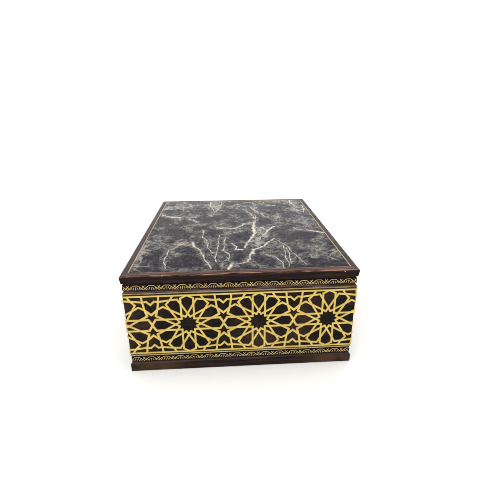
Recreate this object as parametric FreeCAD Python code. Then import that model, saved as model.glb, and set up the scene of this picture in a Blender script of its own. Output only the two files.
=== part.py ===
import FreeCAD, Part
import math
import os

# Inlaid wooden keepsake box with a marble lid, in millimetres.
# The origin is the centre of the underside: +X to the right, +Y to the back, +Z up.
# Every strip that runs round the box is drawn on its front side, with its depth counted outwards
# from the carcass wall, then turned to each side and mitred along the same diagonals.

# ---- Driving dimensions ----
WIDTH = 300.0                # lid rim, left to right
DEPTH = 344.0                # lid rim, front to back
HEIGHT = 143.3               # underside to the top of the rim
TRIM = 3.4                   # how far the rim stands out from the carcass wall
WALL = 8.0                   # carcass and lid skirt
BASE = 8.0                   # base board
FELT = 1.0                   # lining cloth on its card
SEAM_Z = 121.6               # where lid and body part; the hinge axis lies at this height
SEAM_GAP = 0.3

# ---- Heights of the mouldings on the body ----
PLINTH = (0.0, 13.0)
LOWER_BAND = (15.3, 23.8)
LOWER_FILLET = (24.6, 25.9)
PANEL = (26.3, 117.0)
UPPER_FILLET = (117.0, 118.6)
TRIM_SEAM_X = -11.5          # butt joint in the front plinth and the lower fillet

# ---- Lid ----
UPPER_BAND = (122.5, 130.0)
RIM_Z = 132.0                # underside of the rim rails
RIM_TOP_WIDTH = 8.4          # rim seen from above, up to the metal line
LINE_WIDTH = 1.0             # metal line between rim and marble
MARBLE = 6.0
MARBLE_DROP = 0.2            # marble below the rim's top face
LINE_DROP = 0.1
MARBLE_CHAMFER = 0.4
RIM_BEVEL = 3.5              # the rim's face leans in below this depth from its top
RIM_FOOT_IN = 1.0            # by this much at its foot

# ---- How far the trims stand out from the wall ----
PLINTH_OUT = 3.3
BAND_OUT = 1.5
BAND_CROWN = 0.4             # extra at the middle of the rounded band
FILLET_OUT = 2.8
PANEL_OUT = 2.1
LATTICE_OUT = 3.0
LEDGE_OUT = (2.4, 0.4)       # at its foot and at its top edge

# ---- Roundings of the mouldings ----
FOOT_R = 1.2                 # lower edge of plinth and rim
SHOULDER_R = 2.2             # upper edge of plinth and rim
RIM_BEND_R = 3.0
FILLET_R = 0.5
BAND_EDGE_R = 0.4
BAND_CROWN_R = 12.0

# ---- Rosette lattice ----
HALF_BAR = 8.06              # half the width of a petal, the unit that the star pattern is drawn in
PITCH_UNITS = 5.69           # half of the distance between rosettes, in that unit
BORDER_UNITS = 5.28          # rosette centre to the middle of the border
ROSETTE_Z = 71.5
FIRST_ROSETTE_X = 21.7       # on the front
BAR = 2.35                   # width of the lattice's bars
BORDER_BAR = 2.0
STAR_BAR = 3.2               # the metal is left wider round the small five-pointed stars

# ---- Stop hinges ----
HINGE_X = (-90.0, 90.0)
HINGE_LENGTH = 38.0
HINGE_Y = DEPTH / 2 + 0.5    # pin axis, behind the back wall
LEAF_WIDTH = 11.5
LEAF = 3.0                   # from the seam's middle to a leaf's outer face; the knuckle's radius
KNUCKLES = 5
KNUCKLE_GAP = 0.3
PIN_R = 1.2
PIN_PLAY = 0.05
STOP_OPENING = 95.2          # angle between the two stop faces, in degrees
STOP_REACH = 4.1
SCREW_X = (-13.0, 0.0, 13.0)
SCREW_Y = HINGE_Y - 7.6
SCREW_R = 1.2
SCREW_HEAD_R = 2.3
SCREW_HEAD = 1.3
SCREW_LENGTH = 9.5

# ---- Worked out from the above ----
CARCASS_X = WIDTH / 2 - TRIM
CARCASS_Y = DEPTH / 2 - TRIM
BODY_TOP = SEAM_Z - SEAM_GAP / 2
LID_BOTTOM = SEAM_Z + SEAM_GAP / 2
SLAB_X = WIDTH / 2 - RIM_TOP_WIDTH          # opening of the rim
SLAB_Y = DEPTH / 2 - RIM_TOP_WIDTH
LEDGE_Z = UPPER_FILLET[1]                   # also the floor of the leaf pockets
MARBLE_TOP = HEIGHT - MARBLE_DROP
BOARD_TOP = MARBLE_TOP - MARBLE
SIDES = {"front": 0, "right": 90, "back": 180, "left": 270}


# ---- Helpers ----
SPARE = 5.0                  # how far cutting shapes reach beyond the box
MITRE_OUTER = 15.0           # reach of the mitre planes outside and inside a wall's outer face
MITRE_INNER = 30.0


def box(low, high):
    size = [b - a for a, b in zip(low, high)]
    return Part.makeBox(*size, FreeCAD.Vector(*low))


def slab(half_x, half_y, low_z, high_z):
    return box((-half_x, -half_y, low_z), (half_x, half_y, high_z))


def side_sizes(side):
    """Half the length of a side's wall, and the distance of its outer face from the centre."""
    if side in ("front", "back"):
        return CARCASS_X, CARCASS_Y
    return CARCASS_Y, CARCASS_X


def turn_to(side, shape):
    shape.rotate(FreeCAD.Vector(0, 0, 0), FreeCAD.Vector(0, 0, 1), SIDES[side])
    return shape


def mitre_wedge(side):
    """The space in front of the box between the two mitre planes, for a side drawn at the front."""
    half, face = side_sizes(side)
    corners = [
        (-half - MITRE_OUTER, -face - MITRE_OUTER),
        (half + MITRE_OUTER, -face - MITRE_OUTER),
        (half - MITRE_INNER, -face + MITRE_INNER),
        (-half + MITRE_INNER, -face + MITRE_INNER),
    ]
    points = [FreeCAD.Vector(x, y, -SPARE) for x, y in corners]
    plan = Part.Face(Part.makePolygon(points + points[:1]))
    return plan.extrude(FreeCAD.Vector(0, 0, HEIGHT + 2 * SPARE))


def rounded_section(corners):
    """A closed wire in the YZ plane from (y, z, radius) corners; a radius of 0 keeps it sharp."""
    count = len(corners)
    points = [FreeCAD.Vector(0, y, z) for y, z, _ in corners]
    edges = []
    last_end = None
    first_start = None
    for index in range(count):
        here, radius = points[index], corners[index][2]
        before = (points[index - 1] - here).normalize()
        after = (points[(index + 1) % count] - here).normalize()
        start = end = here
        if radius:
            half_angle = before.getAngle(after) / 2
            reach = radius / math.tan(half_angle)
            bisector = (before + after).normalize()
            middle = here + bisector * (radius / math.sin(half_angle) - radius)
            start = here + before * reach
            end = here + after * reach
        if last_end is not None:
            edges.append(Part.makeLine(last_end, start))
        else:
            first_start = start
        if radius:
            edges.append(Part.Arc(start, middle, end).toShape())
        last_end = end
    edges.append(Part.makeLine(last_end, first_start))
    return Part.Wire(edges)


def side_strip(side, profile):
    """A mitred strip on one side, from (out, z) or (out, z, radius) corners of its section."""
    half, face = side_sizes(side)
    reach = half + TRIM + SPARE
    corners = [(-face - point[0], point[1], point[2] if len(point) > 2 else 0) for point in profile]
    section = Part.Face(rounded_section(corners))
    section.translate(FreeCAD.Vector(-reach, 0, 0))
    bar = section.extrude(FreeCAD.Vector(2 * reach, 0, 0))
    return turn_to(side, bar.common(mitre_wedge(side)).Solids[0])


def ring(profile):
    """The four mitred strips of one moulding, by side."""
    return {side: side_strip(side, profile) for side in SIDES}


def plain_profile(inner, outer, low_z, high_z):
    return [(inner, low_z), (outer, low_z), (outer, high_z), (inner, high_z)]


def band_profile(low_z, high_z):
    """A narrow band with a rounded face, standing proudest at the middle of its height."""
    middle = (BAND_OUT + BAND_CROWN, (low_z + high_z) / 2, BAND_CROWN_R)
    edges = [(BAND_OUT, z, BAND_EDGE_R) for z in (low_z, high_z)]
    return [(0, low_z), edges[0], middle, edges[1], (0, high_z)]


def cut_all(shape, tools):
    for tool in tools:
        shape = shape.cut(tool)
    return shape


def single(shape, name):
    """The one solid of a result that has to be a single piece."""
    solids = shape.Solids
    if len(solids) != 1:
        raise ValueError(f"{name}: expected one solid, got {len(solids)}")
    return solids[0]


# ---- Rosette lattice: its dark cells are drawn in half-petal units round one rosette ----
def polar(radius, degrees):
    angle = math.radians(degrees)
    return radius * math.cos(angle), radius * math.sin(angle)


STAR_TIP = 2.0                               # tips of the central twelve-pointed star
STAR_HOLLOW = math.sqrt(2)
PETAL_ROOT = 1 / math.sin(math.radians(15))  # where the sides of neighbouring petals meet
FOOT = (4.98, 1.73)                          # foot of the steep line beside the five-pointed star
STEEP_TOP = (4.37, BORDER_UNITS)
STEEP_LOW = (4.69, 2.85)                     # tip of the 30 degree petal, on the steep line
STEEP_HIGH = (4.46, 4.25)
PETAL_30_TOP = (3.78, 3.35)
PETAL_60_RIGHT = (3.31, 3.735)
PETAL_60_TIP = (2.63, 4.49)
PETAL_60_LEFT = (1.52, 4.59)
PETAL_90_SIDE = (1.0, 4.75)
PETAL_90_TIP = (0.0, BORDER_UNITS)
SHORT_TOP = (2.155, BORDER_UNITS)            # where the short slanting bar meets the border
PETAL_0_SHOULDER = (5.11, 1.0)
CROSSING = (PITCH_UNITS, 0.0)                # the tips of two rosettes' side petals
LOW_APEX = (PITCH_UNITS, 1.95)
HIGH_APEX = (PITCH_UNITS, 3.75)
HIGH_BEND = (5.08, 4.36)


def across_pitch(point):
    return 2 * PITCH_UNITS - point[0], point[1]


def across_axis(point, degrees):
    """The point mirrored in a line through the rosette's centre."""
    angle = 2 * math.radians(degrees)
    x, y = point
    return x * math.cos(angle) + y * math.sin(angle), x * math.sin(angle) - y * math.cos(angle)


def symmetric_cell(half, mirror):
    """A whole cell from one half of its outline, whose first and last points may lie on the axis."""
    other = [mirror(point) for point in reversed(half)]
    cell = list(half)
    for point in other:
        if all(math.dist(point, seen) > 1e-6 for seen in cell):
            cell.append(point)
    return cell


def rosette_cells():
    """Every cell of one period, as polygons round a rosette at the origin, each with its bars' width."""
    star = []
    kites = []
    for turn in range(0, 360, 30):
        star += [polar(STAR_TIP, turn), polar(STAR_HOLLOW, turn + 15)]
        kites.append([
            polar(STAR_HOLLOW, turn + 15),
            polar(STAR_TIP, turn),
            polar(PETAL_ROOT, turn + 15),
            polar(STAR_TIP, turn + 30),
        ])
    quadrant = [
        # the petals at 0, 30, 60 and 90 degrees
        symmetric_cell(
            [polar(STAR_TIP, 0), polar(PETAL_ROOT, 15), PETAL_0_SHOULDER, CROSSING],
            lambda point: across_axis(point, 0),
        ),
        [polar(STAR_TIP, 30), polar(PETAL_ROOT, 15), FOOT, STEEP_LOW, PETAL_30_TOP, polar(PETAL_ROOT, 45)],
        [polar(STAR_TIP, 60), polar(PETAL_ROOT, 45), PETAL_60_RIGHT, PETAL_60_TIP, PETAL_60_LEFT,
         polar(PETAL_ROOT, 75)],
        symmetric_cell(
            [polar(STAR_TIP, 90), polar(PETAL_ROOT, 75), PETAL_90_SIDE, PETAL_90_TIP],
            lambda point: across_axis(point, 90),
        ),
        # the arrow above the five-pointed star and the cell at the border
        symmetric_cell([LOW_APEX, STEEP_LOW, STEEP_HIGH, HIGH_BEND, HIGH_APEX], across_pitch),
        symmetric_cell([HIGH_APEX, HIGH_BEND, STEEP_HIGH, STEEP_TOP], across_pitch),
        # the small cells between petals and border
        [SHORT_TOP, STEEP_TOP, STEEP_HIGH, PETAL_60_TIP],
        [polar(PETAL_ROOT, 45), PETAL_30_TOP, STEEP_LOW, STEEP_HIGH, PETAL_60_TIP, PETAL_60_RIGHT],
        [polar(PETAL_ROOT, 75), PETAL_90_SIDE, PETAL_90_TIP, SHORT_TOP, PETAL_60_TIP, PETAL_60_LEFT],
    ]
    # the five-pointed star between two rosettes
    small_star = symmetric_cell(
        [CROSSING, PETAL_0_SHOULDER, polar(PETAL_ROOT, 15), FOOT, STEEP_LOW, LOW_APEX], across_pitch
    )
    cells = [(cell, BAR) for cell in [star] + kites]
    for cell, bar in [(cell, BAR) for cell in quadrant] + [(small_star, STAR_BAR)]:
        for sign_x in (1, -1):
            for sign_y in (1, -1):
                cells.append(([(x * sign_x, y * sign_y) for x, y in cell], bar))
    return cells


def anticlockwise(points):
    area = 0.0
    for (x1, y1), (x2, y2) in zip(points, points[1:] + points[:1]):
        area += x1 * y2 - x2 * y1
    return points if area > 0 else points[::-1]


def inset(points, bar, border_y):
    """The opening that the bars leave of a cell: each edge moves in by half of its bar's width."""
    lines = []
    for (x1, y1), (x2, y2) in zip(points, points[1:] + points[:1]):
        on_border = abs(abs(y1) - border_y) < 1e-6 and abs(abs(y2) - border_y) < 1e-6
        half = (BORDER_BAR if on_border else bar) / 2
        length = math.hypot(x2 - x1, y2 - y1)
        along = ((x2 - x1) / length, (y2 - y1) / length)
        lines.append(((x1 - along[1] * half, y1 + along[0] * half), along))
    opening = []
    for (start, along), (next_start, next_along) in zip(lines[-1:] + lines[:-1], lines):
        cross = along[0] * next_along[1] - along[1] * next_along[0]
        gap = (next_start[0] - start[0], next_start[1] - start[1])
        step = (gap[0] * next_along[1] - gap[1] * next_along[0]) / cross
        opening.append((start[0] + along[0] * step, start[1] + along[1] * step))
    return opening


def lattice_openings(half_length, first_x):
    """All openings that reach a lattice of this half length, without repeats."""
    pitch = 2 * PITCH_UNITS * HALF_BAR
    border_y = BORDER_UNITS * HALF_BAR
    cells = [([(x * HALF_BAR, y * HALF_BAR) for x, y in cell], bar) for cell, bar in rosette_cells()]
    openings = {}
    lowest = math.floor((-half_length - first_x) / pitch)
    highest = math.ceil((half_length - first_x) / pitch)
    for number in range(lowest, highest + 1):
        centre = first_x + number * pitch
        for cell, bar in cells:
            opening = inset(anticlockwise(cell), bar, border_y)
            opening = [(x + centre, y + ROSETTE_Z) for x, y in opening]
            if min(x for x, _ in opening) > half_length or max(x for x, _ in opening) < -half_length:
                continue
            middle_x = sum(x for x, _ in opening) / len(opening)
            middle_z = sum(z for _, z in opening) / len(opening)
            openings[round(middle_x, 1), round(middle_z, 1)] = opening
    return list(openings.values())


def lattice(side, first_x):
    """One side's pierced lattice, cut from sheet, laid on its panel."""
    half, face = side_sizes(side)
    end = half + LATTICE_OUT
    border_y = BORDER_UNITS * HALF_BAR + BORDER_BAR / 2
    back_y = -face - PANEL_OUT

    def wire(points):
        corners = [FreeCAD.Vector(x, back_y, z) for x, z in points]
        return Part.makePolygon(corners + corners[:1])

    outline = [
        (-end, ROSETTE_Z - border_y),
        (end, ROSETTE_Z - border_y),
        (end, ROSETTE_Z + border_y),
        (-end, ROSETTE_Z + border_y),
    ]
    inside = []
    cut_off = []
    for opening in lattice_openings(end, first_x):
        crosses_end = max(abs(x) for x, _ in opening) > half
        (cut_off if crosses_end else inside).append(wire(opening))
    sheet = Part.makeFace([wire(outline)] + inside, "Part::FaceMakerBullseye")
    out = FreeCAD.Vector(0, PANEL_OUT - LATTICE_OUT, 0)
    plate = sheet.extrude(out)
    if cut_off:
        plate = plate.cut(Part.Compound([Part.Face(edge).extrude(out) for edge in cut_off]))
    plate = plate.common(mitre_wedge(side))
    # a tip of a bar that the mitre cuts loose falls away
    largest = max(plate.Solids, key=lambda piece: piece.Volume)
    return turn_to(side, largest)


# ---- Stop hinges ----
def x_cylinder(radius, start_x, end_x):
    centre = FreeCAD.Vector(start_x, HINGE_Y, SEAM_Z)
    return Part.makeCylinder(radius, end_x - start_x, centre, FreeCAD.Vector(1, 0, 0))


def hinge_leaf(centre_x, part):
    """One leaf with its knuckles and the bevelled tail that stops the lid."""
    up = 1 if part == "lid" else -1
    start = centre_x - HINGE_LENGTH / 2
    end = centre_x + HINGE_LENGTH / 2
    near, far = sorted((SEAM_Z + up * SEAM_GAP / 2, SEAM_Z + up * LEAF))
    leaf = box((start, HINGE_Y - LEAF_WIDTH, near), (end, HINGE_Y, far))
    stop_y = STOP_REACH / math.tan(math.radians(STOP_OPENING / 2))
    tail = [
        FreeCAD.Vector(start, HINGE_Y, SEAM_Z),
        FreeCAD.Vector(start, HINGE_Y + stop_y, SEAM_Z + up * STOP_REACH),
        FreeCAD.Vector(start, HINGE_Y, SEAM_Z + up * STOP_REACH),
    ]
    wedge = Part.Face(Part.makePolygon(tail + tail[:1])).extrude(FreeCAD.Vector(HINGE_LENGTH, 0, 0))
    leaf = leaf.fuse(wedge)
    step = HINGE_LENGTH / KNUCKLES
    own = 1 if part == "lid" else 0
    for number in range(KNUCKLES):
        low = start + number * step
        high = low + step
        if number % 2 == own:
            inner_low = low + (KNUCKLE_GAP / 2 if number > 0 else 0)
            inner_high = high - (KNUCKLE_GAP / 2 if number < KNUCKLES - 1 else 0)
            knuckle = x_cylinder(LEAF, inner_low, inner_high)
            leaf = leaf.fuse(knuckle)
        else:
            wide_low = low - KNUCKLE_GAP / 2
            wide_high = high + KNUCKLE_GAP / 2
            leaf = leaf.cut(x_cylinder(LEAF + SEAM_GAP, wide_low, wide_high))
    bore = PIN_R + (PIN_PLAY if part == "lid" else 0)
    leaf = leaf.cut(x_cylinder(bore, start - 1, end + 1))
    return cut_all(leaf, [screw(centre_x + x, part) for x in SCREW_X])


def screw(x, part):
    """A countersunk screw, its head flush with its leaf's inner face."""
    up = 1 if part == "lid" else -1
    head_z = SEAM_Z + up * SEAM_GAP / 2
    along = FreeCAD.Vector(0, 0, up)
    head = Part.makeCone(SCREW_HEAD_R, SCREW_R, SCREW_HEAD, FreeCAD.Vector(x, SCREW_Y, head_z), along)
    shank_start = FreeCAD.Vector(x, SCREW_Y, head_z + up * SCREW_HEAD)
    shank = Part.makeCylinder(SCREW_R, SCREW_LENGTH - SCREW_HEAD, shank_start, along)
    return head.fuse(shank)


def screws(part):
    return [screw(centre + x, part) for centre in HINGE_X for x in SCREW_X]


def leaf_pockets():
    """The notches in the two edges that the leaves lie in, open to the back."""
    pockets = []
    for centre in HINGE_X:
        low = (centre - HINGE_LENGTH / 2, HINGE_Y - LEAF_WIDTH, SEAM_Z - LEAF)
        high = (centre + HINGE_LENGTH / 2, HINGE_Y + LEAF_WIDTH, SEAM_Z + LEAF)
        pockets.append(box(low, high))
    return pockets


# ---- The box ----
def body_parts():
    parts = {"base_board": slab(CARCASS_X, CARCASS_Y, 0, BASE)}
    back_tools = leaf_pockets() + screws("body")

    walls = ring(plain_profile(-WALL, 0, BASE, BODY_TOP))
    walls["back"] = cut_all(walls["back"], back_tools)
    panels = ring(plain_profile(0, PANEL_OUT, *PANEL))
    bands = ring(band_profile(*LOWER_BAND))
    ledge = [(0, LEDGE_Z), (LEDGE_OUT[0], LEDGE_Z), (LEDGE_OUT[1], BODY_TOP), (0, BODY_TOP)]
    ledges = ring(ledge)
    ledges["back"] = cut_all(ledges["back"], leaf_pockets())  # three lengths, between the hinges
    plinths = ring([
        (0, PLINTH[0]),
        (PLINTH_OUT, PLINTH[0], FOOT_R),
        (PLINTH_OUT, PLINTH[1], SHOULDER_R),
        (0, PLINTH[1]),
    ])
    for side in SIDES:
        parts["wall_" + side] = walls[side]
        parts["panel_" + side] = panels[side]
        parts["lower_band_" + side] = bands[side]
        parts["ledge_" + side] = ledges[side]
        if side != "front":
            parts["plinth_" + side] = plinths[side]

    # the front plinth and the lower fillet are each made up of two lengths
    left_half = box((-WIDTH, -DEPTH, -SPARE), (TRIM_SEAM_X, 0, HEIGHT))
    right_half = box((TRIM_SEAM_X, -DEPTH, -SPARE), (WIDTH, 0, HEIGHT))
    parts["plinth_front_left"] = plinths["front"].common(left_half)
    parts["plinth_front_right"] = plinths["front"].common(right_half)
    for name, (low, high) in (("lower_fillet", LOWER_FILLET), ("upper_fillet", UPPER_FILLET)):
        strips = ring([(0, low), (FILLET_OUT, low, FILLET_R), (FILLET_OUT, high, FILLET_R), (0, high)])
        pieces = [strips["right"], strips["back"], strips["left"]]
        if name == "lower_fillet":
            pieces += [strips["front"].common(left_half), strips["front"].common(right_half)]
        else:
            pieces.append(strips["front"])
        parts[name] = Part.Compound([piece.Solids[0] for piece in pieces])

    # the lattice is sawn from one long strip, so that its pattern runs on round the corners
    first_x = FIRST_ROSETTE_X
    for side in SIDES:
        parts["lattice_" + side] = lattice(side, first_x)
        half, _ = side_sizes(side)
        next_half = CARCASS_X + CARCASS_Y - half
        first_x -= half + next_half + 2 * LATTICE_OUT

    # linings, glued to the inside of the walls and to the base board
    parts["floor_lining"] = slab(CARCASS_X - WALL, CARCASS_Y - WALL, BASE, BASE + FELT)
    lining = ring(plain_profile(-WALL - FELT, -WALL, BASE + FELT, BODY_TOP - FELT))
    for side in SIDES:
        parts["wall_lining_" + side] = lining[side]
    return parts


def lid_parts():
    parts = {}
    inner_out = SLAB_X - CARCASS_X
    rails = ring([
        (inner_out, RIM_Z),
        (TRIM - RIM_FOOT_IN, RIM_Z, FOOT_R),
        (TRIM, HEIGHT - RIM_BEVEL, RIM_BEND_R),
        (TRIM, HEIGHT, SHOULDER_R),
        (inner_out, HEIGHT),
    ])
    skirts = ring(plain_profile(-WALL, 0, LID_BOTTOM, RIM_Z))
    skirts["back"] = cut_all(skirts["back"], leaf_pockets() + screws("lid"))
    bands = ring(band_profile(*UPPER_BAND))
    bands["back"] = cut_all(bands["back"], leaf_pockets())
    line_top = HEIGHT - LINE_DROP
    lines = ring(plain_profile(inner_out - LINE_WIDTH, inner_out, BOARD_TOP, line_top))
    for side in SIDES:
        parts["rim_" + side] = rails[side]
        parts["lid_skirt_" + side] = skirts[side]
        parts["upper_band_" + side] = bands[side]
    parts["marble_line"] = Part.Compound([lines[side] for side in SIDES])
    parts["lid_board"] = slab(SLAB_X, SLAB_Y, RIM_Z, BOARD_TOP)
    marble = slab(SLAB_X - LINE_WIDTH, SLAB_Y - LINE_WIDTH, BOARD_TOP, MARBLE_TOP)
    top_edges = [edge for edge in marble.Edges if edge.BoundBox.ZMin > MARBLE_TOP - MARBLE_CHAMFER]
    parts["marble_slab"] = marble.makeChamfer(MARBLE_CHAMFER, top_edges)
    parts["lid_lining"] = slab(CARCASS_X - WALL, CARCASS_Y - WALL, RIM_Z - FELT, RIM_Z)
    return parts


def hinge_parts():
    parts = {}
    for end, centre in zip(("left", "right"), HINGE_X):
        parts["hinge_body_leaf_" + end] = hinge_leaf(centre, "body")
        parts["hinge_lid_leaf_" + end] = hinge_leaf(centre, "lid")
        half = HINGE_LENGTH / 2
        parts["hinge_pin_" + end] = x_cylinder(PIN_R, centre - half, centre + half)
    parts["body_leaf_screws"] = Part.Compound(screws("body"))
    parts["lid_leaf_screws"] = Part.Compound(screws("lid"))
    return parts


def main():
    parts = {**body_parts(), **lid_parts(), **hinge_parts()}
    groups = (
        "lower_fillet",
        "upper_fillet",
        "ledge_back",
        "marble_line",
        "body_leaf_screws",
        "lid_leaf_screws",
    )
    os.makedirs("parts", exist_ok=True)
    for name, shape in parts.items():
        if name not in groups:
            shape = single(shape, name)
        if not shape.isValid():
            raise ValueError(name + " is not a valid shape")
        shape.exportStep(f"parts/{name}.step")
    print(len(parts), "nodes written")


main()
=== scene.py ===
import math

import bmesh
import bpy
from mathutils import Matrix, Vector, noise


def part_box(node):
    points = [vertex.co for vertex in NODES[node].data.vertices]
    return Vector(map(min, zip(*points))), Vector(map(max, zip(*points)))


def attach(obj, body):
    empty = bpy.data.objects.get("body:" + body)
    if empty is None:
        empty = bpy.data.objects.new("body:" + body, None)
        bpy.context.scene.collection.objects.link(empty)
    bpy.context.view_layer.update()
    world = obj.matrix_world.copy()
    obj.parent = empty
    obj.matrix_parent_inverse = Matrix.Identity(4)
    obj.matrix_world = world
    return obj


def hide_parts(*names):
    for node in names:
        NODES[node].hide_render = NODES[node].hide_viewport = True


# Looks of the inlaid wooden box: materials for the CAD nodes, raised gold line-work on the narrow
# bands, slotted screws and felt linings, on a pale floor in soft light. Metres, in the CAD frame.

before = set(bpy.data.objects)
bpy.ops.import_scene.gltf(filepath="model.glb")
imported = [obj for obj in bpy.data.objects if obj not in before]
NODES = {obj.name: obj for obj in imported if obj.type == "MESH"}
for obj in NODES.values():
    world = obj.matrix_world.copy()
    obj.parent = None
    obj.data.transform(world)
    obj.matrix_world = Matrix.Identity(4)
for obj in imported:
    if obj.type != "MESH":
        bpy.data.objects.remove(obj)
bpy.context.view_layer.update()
MM = 0.001
SIDES = {"front": 0, "right": 90, "back": 180, "left": 270}  # how far each is turned from the front

# ---- Places read from the frame ----
RIM_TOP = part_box("rim_front")[1].z
RIM_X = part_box("rim_right")[1].x
RIM_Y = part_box("rim_back")[1].y
WALL_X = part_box("wall_right")[1].x
WALL_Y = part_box("wall_back")[1].y


# ---- Node graphs ----
class Graph:
    """A material built by short calls that return sockets. Sizes are in millimetres."""

    def __init__(self, name):
        self.material = bpy.data.materials.new(name)
        self.material.use_nodes = True
        self.tree = self.material.node_tree
        self.tree.nodes.clear()
        places = self.add("ShaderNodeTexCoord").outputs
        self.place, self.own_normal = places["Object"], places["Normal"]

    def add(self, kind, inputs=None, **settings):
        node = self.tree.nodes.new(kind)
        for key, value in settings.items():
            setattr(node, key, value)
        for key, value in (inputs or {}).items():
            self.feed(node.inputs[key], value)
        return node

    def feed(self, socket, value):
        if isinstance(value, bpy.types.NodeSocket):
            self.tree.links.new(value, socket)
        else:
            socket.default_value = value

    def math(self, operation, *values, clamp=False):
        """One sum; clamp keeps it from 0 to 1 with a node of its own, which keeps big graphs small to run."""
        result = self.add("ShaderNodeMath", dict(enumerate(values)), operation=operation).outputs[0]
        return self.add("ShaderNodeClamp", {"Value": result}).outputs[0] if clamp else result

    def times(self, first, second, clamp=False):
        return self.math("MULTIPLY", first, second, clamp=clamp)

    def vector(self, operation, *values):
        node = self.add("ShaderNodeVectorMath", dict(enumerate(values)), operation=operation)
        return node.outputs["Value" if operation in ("DOT_PRODUCT", "LENGTH", "DISTANCE") else "Vector"]

    def axis(self, letter, vector=None):
        node = self.add("ShaderNodeSeparateXYZ", {0: vector or self.place})
        return node.outputs[letter]

    def grain(self, size, detail=4.0, roughness=0.5, distortion=0.0, place=None, offset=None):
        """Noise from 0 to 1 whose features are about size millimetres; size may differ by axis."""
        sizes = size if isinstance(size, tuple) else (size, size, size)
        scale = tuple(1 / (s * MM) for s in sizes)
        place = self.vector("MULTIPLY", place or self.place, scale)
        if offset:
            place = self.vector("ADD", place, (offset, offset * 0.7, offset * 1.3))
        inputs = {"Vector": place, "Scale": 1.0, "Detail": detail, "Roughness": roughness,
                  "Distortion": distortion}
        return self.add("ShaderNodeTexNoise", inputs).outputs["Fac"]

    def step(self, value, low, high):
        """0 below low, 1 above high and smooth between; low may be the larger of the two."""
        ends = (0.0, 1.0)
        if low > high:
            low, high, ends = high, low, (1.0, 0.0)
        inputs = {"Value": value, "From Min": low, "From Max": high, "To Min": ends[0], "To Max": ends[1]}
        return self.add("ShaderNodeMapRange", inputs, interpolation_type="SMOOTHSTEP").outputs[0]

    def mix(self, share, first, second):
        """The first color where the share is 0, the second where it is 1."""
        node = self.add("ShaderNodeMix", data_type="RGBA")
        self.feed(node.inputs[0], share)
        self.feed(node.inputs[6], first)
        self.feed(node.inputs[7], second)
        return node.outputs[2]

    def bump(self, height, depth):
        """Relief: the height runs from 0 to 1 over a depth in millimetres."""
        inputs = {"Height": height, "Distance": depth * MM, "Strength": 1.0}
        return self.add("ShaderNodeBump", inputs).outputs["Normal"]

    def finish(self, color, roughness, normal=None, **sockets):
        """The material, with any other sockets by name, an underscore for each space."""
        inputs = {"Base Color": color, "Roughness": roughness}
        if normal:
            inputs["Normal"] = normal
        inputs.update({name.replace("_", " "): value for name, value in sockets.items()})
        shader = self.add("ShaderNodeBsdfPrincipled", inputs)
        self.add("ShaderNodeOutputMaterial", {"Surface": shader.outputs["BSDF"]})
        return self.material


def rgb(red, green, blue):
    return (red, green, blue, 1.0)


# ---- Materials ----
RUBBED_IN = (9.6, 10.4)      # gilding is rubbed off this far in from the rim's front, in millimetres
KEPT_GILT_X = 115.5 * MM     # the middle of the short length of the front metal line that is still bright
KEPT_GILT_HALF = (2.2, 3.4)  # half that length in millimetres, to where it starts and stops fading


def outer_edge(graph, depth):
    """1 on the upper outer edge of the rim, fading over depth millimetres inwards and downwards."""
    across = graph.math("SUBTRACT", graph.math("ABSOLUTE", graph.axis("X")), RIM_X)
    along = graph.math("SUBTRACT", graph.math("ABSOLUTE", graph.axis("Y")), RIM_Y)
    out = graph.math("MAXIMUM", across, along)
    inwards = graph.step(out, -depth * MM, -depth * 0.35 * MM)
    up = graph.step(graph.axis("Z"), RIM_TOP - depth * MM, RIM_TOP - depth * 0.45 * MM)
    return graph.times(inwards, up)


def facing_up(graph):
    """1 on faces that look straight up from the box, 0 on upright ones."""
    return graph.step(graph.axis("Z", graph.own_normal), 0.55, 0.95)


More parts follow.
